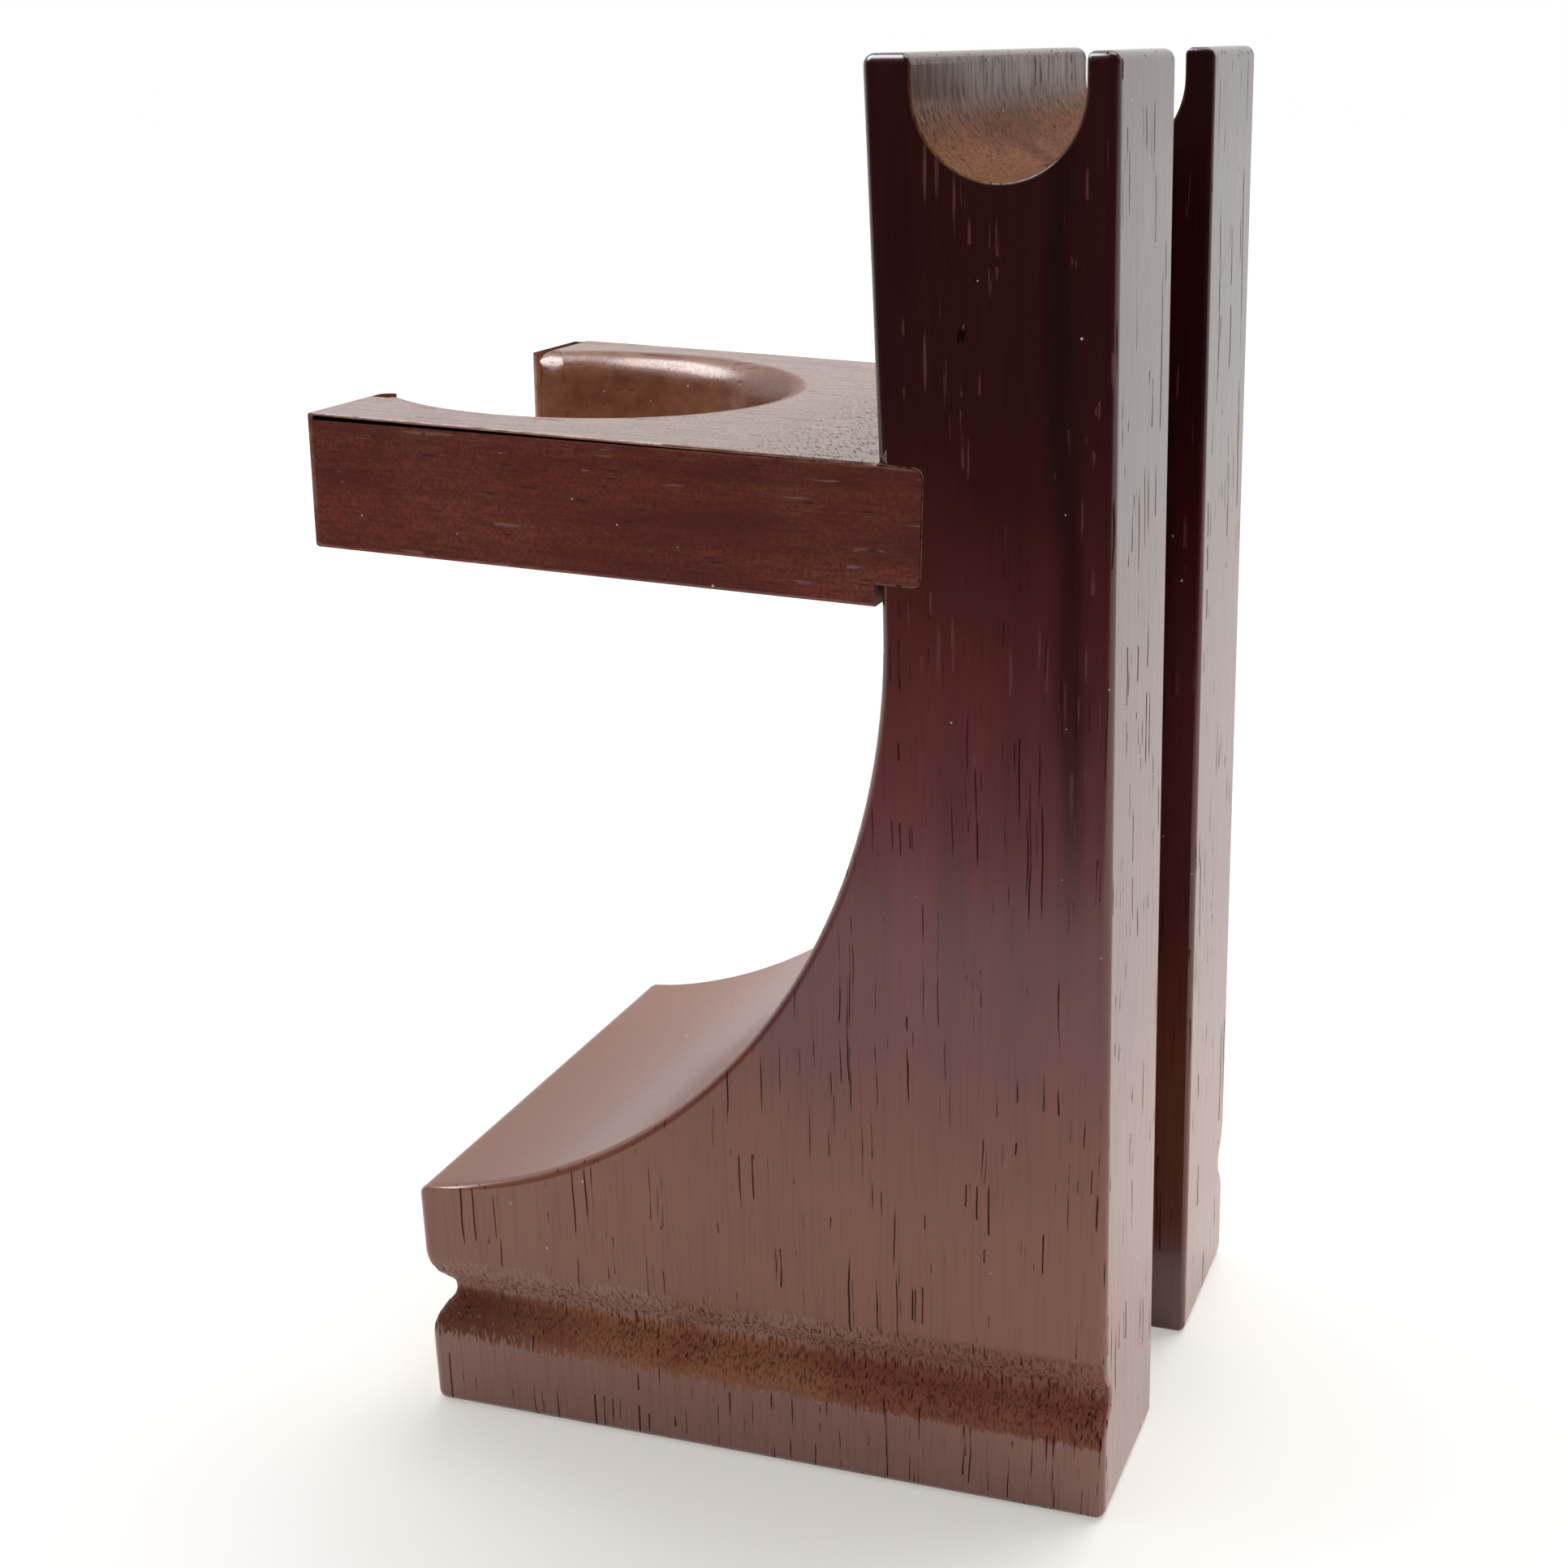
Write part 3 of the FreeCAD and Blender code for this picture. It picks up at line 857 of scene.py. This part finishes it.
rough_stain = wood.blend(wood.ramp(grit, 0.38, 0.62), END_GRAIN_DARK, END_GRAIN_LIGHT)
stain = wood.blend(wood.times(across_grain, 0.85), stain, rough_stain)
colour = wood.blend(wood.times(short["Pore"], 0.85), stain, ARM_PORE)
broken = wood.times(long["Pore"], wood.ramp(lines["Fibre"], 0.38, 0.48))
colour = wood.blend(wood.times(long["Pore"], 0.5), colour, STREAK_DARK)
colour = wood.blend(wood.times(broken, 0.65), colour, STREAK_PALE)

# The arm's top was planed against the grain by the post: short slanting tears.
place = wood.node("SeparateXYZ", sockets={0: object_place}).outputs
rise = wood.times(wood.math("SUBTRACT", POST_FACE, place["Y"]), math.tan(FORK_TILT))
below_top = wood.math("SUBTRACT", wood.plus(rise, FORK_TOP), place["Z"])
planed = wood.times(wood.ramp(below_top, 0.15 * MM, 0.5 * MM, 1.0, 0.0),
                   wood.ramp(place["Y"], POST_FACE - 17 * MM, POST_FACE - 6 * MM))
slant = wood.node("Mapping", vector_type="TEXTURE", sockets={
    "Vector": object_place, "Rotation": (0.0, 0.0, math.radians(34)), "Scale": (1.1 * MM, 0.22 * MM, 1 * MM)})
slant = wood.node("TexNoise", sockets={"Vector": slant.outputs[0], "Scale": 1.0, "Detail": 2.0})
on_top = wood.times(wood.ramp(below_top, 0.15 * MM, 0.5 * MM, 0.7, 0.0),
                   wood.rest(seat))
top_stain = wood.blend(wood.ramp(lines["Fibre"], 0.42, 0.60), ARM_TOP_LIGHT, ARM_TOP_DARK)
colour = wood.blend(on_top, colour, top_stain)
tears = wood.times(wood.ramp(slant.outputs["Fac"], 0.55, 0.64), planed)
colour = wood.blend(wood.times(tears, 0.7), colour, TEAR_DARK)
# Wear and painted highlight: the eased arrises are painted pale, partly wear and partly the highlight along
# the rounded edges.
worn_and_highlit_edge = wood.times(eased, wood.ramp(mottle, 0.42, 0.60, 0.15, 1.0))
worn_and_highlit_edge = wood.times(worn_and_highlit_edge, wood.rest(seat))
colour = wood.blend(wood.times(worn_and_highlit_edge, 0.55), colour, EDGE_WEAR_AND_HIGHLIGHT_PALE)
colour = wood.blend(speck, colour, SPECK_PALE)
pore = wood.math("MAXIMUM", short["Pore"], broken)
rough = wood.ramp(lines["Fibre"], 0.3, 0.7, 0.42, 0.52)
rough = wood.plus(rough, wood.times(pore, 0.4))
rough = wood.plus(rough, wood.times(across_grain, 0.3))
coat = wood.math("SUBTRACT", wood.ramp(grit, 0.35, 0.65, 0.95, 0.65), wood.times(pore, 0.65))
coat = wood.times(coat, wood.rest(wood.times(across_grain, 0.7)))
coat = wood.times(coat, wood.rest(speck))
coat = wood.times(coat, wood.rest(wood.times(tears, 0.9)))
rubbed = wood.times(eased, wood.rest(seat))
coat = wood.times(coat, wood.rest(rubbed))
rough = wood.plus(rough, wood.times(rubbed, 0.4))
relief = wood.math("SUBTRACT", wood.times(lines["Fibre"], 0.3), pore)
relief = wood.plus(relief, wood.times(grit, 0.8))
relief = wood.plus(relief, wood.times(wood.times(grit, across_grain), 2.0))
bump = wood.node("Bump", sockets={"Height": relief, "Distance": 0.00008, "Strength": 0.8}).outputs[0]
surface = wood.node("BsdfPrincipled", sockets={
    "Base Color": colour, "Roughness": rough, "Normal": bump, "Coat Weight": coat,
    "Coat Roughness": 0.25, "Coat IOR": 1.6, "IOR": 1.5, "Specular IOR Level": 0.12})
wood.show(surface)
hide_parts("brush_fork")
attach(fork, "root")

# ---------------------------------------------------------------------------
# The glue line: hardened glue and polish that fills the hairline gap round the
# fork's tongue in its housing, seen as a thin pale line on both sides.
# ---------------------------------------------------------------------------
GLUE_BACK = 0.005 * MM
GLUE_RIM = 0.4 * MM
GLUE_DARK = (0.060, 0.015, 0.012, 1)
GLUE_PALE = (0.50, 0.27, 0.21, 1)
glue = block("glue_line", (GLUE_BACK - HALF_WIDTH, POST_FACE + 0.1 * MM, FORK_TOP - TONGUE_THICK),
             (HALF_WIDTH - GLUE_BACK, POST_FACE + TONGUE_LONG, FORK_TOP))
start_editing(glue)
pick(glue, "EDGE", lambda edge: all(near(v.co.y, POST_FACE + TONGUE_LONG) for v in edge.verts)
     and abs(edge.verts[0].co.x - edge.verts[1].co.x) > HALF_WIDTH)
bpy.ops.mesh.bevel(offset=TONGUE_ROUND, segments=5, affect="EDGES")
pick(glue, "FACE", lambda face: abs(face.normal.x) > 0.9)
bpy.ops.mesh.inset(thickness=GLUE_RIM)
bpy.ops.transform.resize(value=(0.98, 1, 1), center_override=(0, POST_FACE, FORK_TOP))
stop_editing()
tilt_fork(glue)
glue_paste = bpy.data.materials.new("glue_paste")
paste = start_finish(glue_paste)
object_place = paste.node("TexCoord").outputs["Object"]
crumbs = paste.node("TexNoise", sockets={"Vector": object_place, "Scale": 1300.0, "Detail": 3.0})
crumbs = crumbs.outputs["Fac"]
colour = paste.blend(paste.ramp(crumbs, 0.36, 0.50), GLUE_DARK, GLUE_PALE)
bump = paste.node("Bump", sockets={"Height": crumbs, "Distance": 0.00005, "Strength": 0.6}).outputs[0]
surface = paste.node("BsdfPrincipled", sockets={
    "Base Color": colour, "Roughness": paste.ramp(crumbs, 0.3, 0.7, 0.6, 0.8), "Normal": bump})
paste.show(surface)
glue.data.materials.append(glue_paste)
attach(glue, "root")

# ---------------------------------------------------------------------------
# The camera stands close to the stand, on its right and a little behind it, and
# looks slightly down on it. The small shift puts the stand in the frame.
# ---------------------------------------------------------------------------
EYE = (0.19192, 0.07731, 0.12496)
YAW = math.radians(18.291)
PITCH = math.radians(19.007)
ROLL = math.radians(-0.715)
FILM_WIDTH = 36
LENS = 52.335
SHIFT_X = -0.10784
SHIFT_Y = 0.02506

ahead = Vector((-math.cos(YAW) * math.cos(PITCH), -math.sin(YAW) * math.cos(PITCH), -math.sin(PITCH)))
level_right = Vector((-math.sin(YAW), math.cos(YAW), 0))
level_up = level_right.cross(ahead)
right = math.cos(ROLL) * level_right + math.sin(ROLL) * level_up
up = -math.sin(ROLL) * level_right + math.cos(ROLL) * level_up
stance = Matrix((right, up, -ahead)).transposed().to_4x4()
stance.translation = EYE
lens = bpy.data.cameras.new("camera")
lens.sensor_width = FILM_WIDTH
lens.lens = LENS
lens.shift_x = SHIFT_X
lens.shift_y = SHIFT_Y
lens.clip_start = 0.01
camera = bpy.data.objects.new("camera", lens)
bpy.context.scene.collection.objects.link(camera)
camera.matrix_world = stance
bpy.context.scene.camera = camera

# ---------------------------------------------------------------------------
# The floor: a wide sheet of pale matte paper that the stand rests on. It gives
# off a little light, seen directly and in the lacquer, so that it stays pale.
# ---------------------------------------------------------------------------
FLOOR_SIZE = 6
FLOOR_PAPER = (0.84, 0.83, 0.81, 1)
FLOOR_GLOW = (1.0, 0.98, 0.94, 1)
GLOW_SEEN = 0.38
GLOW_IN_GLOSS = 0.36

deselect()
bpy.ops.mesh.primitive_plane_add(size=FLOOR_SIZE)
floor = bpy.context.object
floor.name = "floor"
floor_paper = bpy.data.materials.new("floor_paper")
paper = start_finish(floor_paper)
ray = paper.node("LightPath").outputs
lift = paper.times(ray["Is Glossy Ray"], GLOW_IN_GLOSS)
lift = paper.math("MULTIPLY_ADD", ray["Is Camera Ray"], GLOW_SEEN, lift)
sheet = paper.node("BsdfDiffuse", sockets={"Color": FLOOR_PAPER})
shine = paper.node("Emission", sockets={"Color": FLOOR_GLOW, "Strength": lift})
both = paper.node("AddShader", sockets={0: sheet.outputs[0], 1: shine.outputs[0]})
paper.show(both)
floor.data.materials.append(floor_paper)

# ---------------------------------------------------------------------------
# The dark card: a felt card that stands upright on the stand's right. It is
# seen only in the lacquer, where it keeps the near side deep and dark.
# ---------------------------------------------------------------------------
CARD_X = 0.176
CARD_HIGH = 1.0
CARD_WIDE = 2.0
FELT_BLACK = (0.005, 0.004, 0.004, 1)

deselect()
bpy.ops.mesh.primitive_plane_add(size=1, location=(CARD_X, 0, CARD_HIGH / 2), rotation=(0, math.pi / 2, 0))
card = bpy.context.object
card.name = "dark_card"
card.scale = (CARD_HIGH, CARD_WIDE, 1)
bpy.ops.object.transform_apply(location=True, rotation=True, scale=True)
card_felt = bpy.data.materials.new("card_felt")
card_felt.use_nodes = True
felt = card_felt.node_tree.nodes["Principled BSDF"]
felt.inputs["Base Color"].default_value = FELT_BLACK
felt.inputs["Roughness"].default_value = 0.9
card.data.materials.append(card_felt)
card.visible_camera = False
card.visible_shadow = False
card.visible_diffuse = False

# ---------------------------------------------------------------------------
# The room: a plain studio, bright on most sides and dim on the stand's right.
# The lacquer shows that dim side as nearly black. Seen directly, it is all white.
# ---------------------------------------------------------------------------
DARK_SIDE = (0.94, 0.32, 0.10)
WALL_LIGHT = (0.92, 0.92, 0.92, 1)
WALL_DIM = (0.19, 0.19, 0.19, 1)
GLOSS_LIGHT = (1.0, 0.99, 0.97, 1)
GLOSS_DARK = (0.014, 0.012, 0.013, 1)
WHITE = (1.0, 1.0, 1.0, 1)

world = bpy.data.worlds.new("studio")
bpy.context.scene.world = world
room = start_finish(world)
towards = room.node("TexCoord").outputs["Generated"]
facing = room.node("VectorMath", operation="DOT_PRODUCT", sockets={0: towards, 1: DARK_SIDE})
dim = room.ramp(facing.outputs["Value"], -0.15, 0.45)
sharp_dim = room.ramp(facing.outputs["Value"], -0.30, 0.25)
ray = room.node("LightPath").outputs
glow = room.blend(dim, WALL_LIGHT, WALL_DIM)
shown = room.blend(sharp_dim, GLOSS_LIGHT, GLOSS_DARK)
glow = room.blend(ray["Is Glossy Ray"], glow, shown)
glow = room.blend(ray["Is Camera Ray"], glow, WHITE)
sky = room.node("Background", sockets={"Color": glow, "Strength": 1.0})
room.tree.links.new(sky.outputs[0], room.node("OutputWorld").inputs["Surface"])

# ---------------------------------------------------------------------------
# The lamps: a soft light high overhead, and a round lamp high in front of the
# arm that only the gloss shows, as the pale shine on the seat's lip.
# ---------------------------------------------------------------------------
OVERHEAD_TILT = (math.radians(-8), math.radians(-22), 0)
LIP_LAMP_PLACE = (0.050, -0.240, 0.540)
LIP_LAMP_AWAY = (0.067, -0.215, 0.448)

overhead = bpy.data.lights.new("overhead", "SUN")
overhead.energy = 1.1
overhead.angle = math.radians(36)
softbox = bpy.data.objects.new("overhead", overhead)
softbox.rotation_euler = OVERHEAD_TILT
bpy.context.scene.collection.objects.link(softbox)
lamp = bpy.data.lights.new("lip_lamp", "AREA")
lamp.shape = "DISK"
lamp.size = 0.44
lamp.energy = 5.6
lip_lamp = bpy.data.objects.new("lip_lamp", lamp)
lip_lamp.location = LIP_LAMP_PLACE
lip_lamp.rotation_euler = Vector(LIP_LAMP_AWAY).to_track_quat("Z", "Y").to_euler()
lip_lamp.visible_diffuse = False
bpy.context.scene.collection.objects.link(lip_lamp)
bpy.context.scene.view_settings.view_transform = "Standard"
